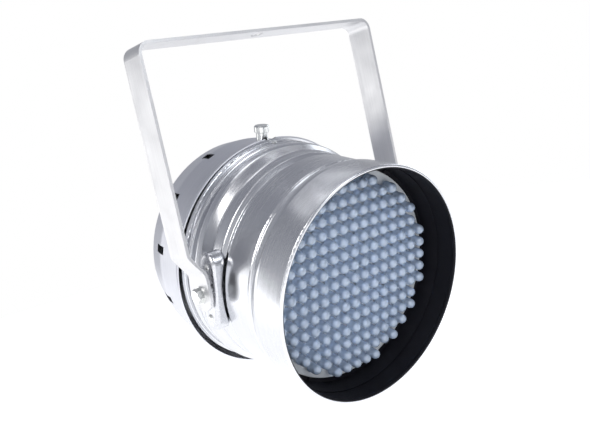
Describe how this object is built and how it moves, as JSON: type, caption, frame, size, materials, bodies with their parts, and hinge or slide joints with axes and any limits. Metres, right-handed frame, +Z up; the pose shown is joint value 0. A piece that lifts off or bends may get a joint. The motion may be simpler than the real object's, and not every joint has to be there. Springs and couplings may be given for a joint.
{
  "type": "par can light",
  "caption": "Spun-metal par can stage light with an LED face, tilting in a flat-bar hanging yoke, with a hinged rear cap that carries the control panel.",
  "frame": {"origin": "centre of the clamp hole at the top face of the yoke's crossbar", "axes": "+Z up through the clamp hole, +X along the crossbar and the tilt axis towards the light's right side as seen from its front, -Y the way the light faces"},
  "size_m": [0.2834, 0.2799, 0.3733],
  "materials": {
    "spun_shell": "polished",
    "yoke_bar": "satin",
    "cap_shell": "satin",
    "panel_sheet": "brushed",
    "zinc_steel": "zinc plated",
    "black_paint": "matt",
    "plain_sheet": "mill",
    "pale_board": "satin",
    "green_board": "satin",
    "led_epoxy": "clear gloss",
    "black_plastic": "matt",
    "switch_body": "satin",
    "white_plastic": "satin",
    "contact_brass": "plated",
    "fuse_glass": "clear",
    "black_rubber": "matt"
  },
  "bodies": {
    "yoke": {"yoke": "yoke_bar", "head_washers": "zinc_steel"},
    "can": {"can_body": "spun_shell", "side_plate_left": "spun_shell", "side_plate_right": "spun_shell", "can_rivets": "zinc_steel", "tilt_spacers": "zinc_steel", "tilt_nuts": "zinc_steel", "screw_tab": "zinc_steel", "tab_nut": "zinc_steel", "hinge_leaf_can": "zinc_steel", "hinge_pin": "zinc_steel", "leds_red": "led_epoxy", "leds_green": "led_epoxy", "leds_blue": "led_epoxy", "led_board": "pale_board", "mounting_disc": "plain_sheet", "front_ring": "black_paint", "ring_screws": "black_paint", "tie_rods": "zinc_steel", "chassis_plate": "plain_sheet", "cable_grommet": "black_rubber", "led_cable": "black_rubber", "supply_tray": "plain_sheet", "supply_lid": "plain_sheet", "driver_board": "green_board", "driver_spacers": "white_plastic", "heat_sink": "plain_sheet"},
    "cap": {"rear_cap": "cap_shell", "hinge_leaf_cap": "zinc_steel", "hinge_rivets": "zinc_steel", "control_panel": "panel_sheet", "panel_screws": "zinc_steel", "dip_switch": "switch_body", "control_board": "green_board", "board_spacers": "white_plastic", "dmx_input": "black_plastic", "dmx_pins": "contact_brass", "dmx_output": "black_plastic", "gland_body": "black_plastic", "gland_seal": "black_rubber", "gland_locknut": "zinc_steel", "fuse_holder": "black_plastic", "fuse": "fuse_glass"},
    "tilt_bolt_left": {"tilt_bolt_left": "zinc_steel"},
    "tilt_bolt_right": {"tilt_bolt_right": "zinc_steel"},
    "cap_screw": {"cap_screw": "zinc_steel"},
    "dip_slider_01": {"dip_slider_01": "white_plastic"},
    "dip_slider_02": {"dip_slider_02": "white_plastic"},
    "dip_slider_03": {"dip_slider_03": "white_plastic"},
    "dip_slider_04": {"dip_slider_04": "white_plastic"},
    "dip_slider_05": {"dip_slider_05": "white_plastic"},
    "dip_slider_06": {"dip_slider_06": "white_plastic"},
    "dip_slider_07": {"dip_slider_07": "white_plastic"},
    "dip_slider_08": {"dip_slider_08": "white_plastic"},
    "dip_slider_09": {"dip_slider_09": "white_plastic"},
    "dip_slider_10": {"dip_slider_10": "white_plastic"},
    "dmx_release": {"dmx_release": "black_plastic"},
    "fuse_cap": {"fuse_cap": "black_plastic"},
    "gland_nut": {"gland_nut": "black_plastic"}
  },
  "joints": [
    {"name": "tilt", "type": "hinge", "parent": "yoke", "child": "can", "pos_m": [0, 0, -0.2354], "axis": [1, 0, 0], "range_deg": [-105.4, 74.6]},
    {"name": "cap_hinge", "type": "hinge", "parent": "can", "child": "cap", "pos_m": [0, 0.08056, -0.34899], "axis": [-1, 0, 0], "range_deg": [0, 100]},
    {"name": "cap_screw_turn", "type": "hinge", "parent": "can", "child": "cap_screw", "pos_m": [0, 0.02887, -0.10298], "axis": [0, -0.2656, 0.9641], "continuous": true},
    {"name": "tilt_bolt_left_turn", "type": "hinge", "parent": "can", "child": "tilt_bolt_left", "pos_m": [-0.13, 0, -0.2354], "axis": [-1, 0, 0], "continuous": true},
    {"name": "tilt_bolt_right_turn", "type": "hinge", "parent": "can", "child": "tilt_bolt_right", "pos_m": [0.13, 0, -0.2354], "axis": [1, 0, 0], "continuous": true},
    {"name": "dip_slide_01", "type": "slide", "parent": "cap", "child": "dip_slider_01", "axis": [0, -0.2656, 0.9641], "range_m": [0, 0.0018]},
    {"name": "dip_slide_02", "type": "slide", "parent": "cap", "child": "dip_slider_02", "axis": [0, -0.2656, 0.9641], "range_m": [0, 0.0018]},
    {"name": "dip_slide_03", "type": "slide", "parent": "cap", "child": "dip_slider_03", "axis": [0, -0.2656, 0.9641], "range_m": [0, 0.0018]},
    {"name": "dip_slide_04", "type": "slide", "parent": "cap", "child": "dip_slider_04", "axis": [0, -0.2656, 0.9641], "range_m": [0, 0.0018]},
    {"name": "dip_slide_05", "type": "slide", "parent": "cap", "child": "dip_slider_05", "axis": [0, -0.2656, 0.9641], "range_m": [0, 0.0018]},
    {"name": "dip_slide_06", "type": "slide", "parent": "cap", "child": "dip_slider_06", "axis": [0, -0.2656, 0.9641], "range_m": [0, 0.0018]},
    {"name": "dip_slide_07", "type": "slide", "parent": "cap", "child": "dip_slider_07", "axis": [0, -0.2656, 0.9641], "range_m": [0, 0.0018]},
    {"name": "dip_slide_08", "type": "slide", "parent": "cap", "child": "dip_slider_08", "axis": [0, -0.2656, 0.9641], "range_m": [0, 0.0018]},
    {"name": "dip_slide_09", "type": "slide", "parent": "cap", "child": "dip_slider_09", "axis": [0, -0.2656, 0.9641], "range_m": [0, 0.0018]},
    {"name": "dip_slide_10", "type": "slide", "parent": "cap", "child": "dip_slider_10", "axis": [0, -0.2656, 0.9641], "range_m": [0, 0.0018]},
    {"name": "dmx_release_press", "type": "slide", "parent": "cap", "child": "dmx_release", "axis": [0, -0.9641, -0.2656], "range_m": [0, 0.0012], "stiffness_N_per_m": 1500, "springref_m": -0.0006},
    {"name": "fuse_cap_turn", "type": "hinge", "parent": "cap", "child": "fuse_cap", "pos_m": [0.058, 0.12241, -0.19027], "axis": [0, -0.9641, -0.2656], "range_deg": [0, 90]},
    {"name": "gland_nut_turn", "type": "hinge", "parent": "cap", "child": "gland_nut", "pos_m": [0.058, 0.13756, -0.21514], "axis": [0, 0.9641, 0.2656], "continuous": true}
  ]
}
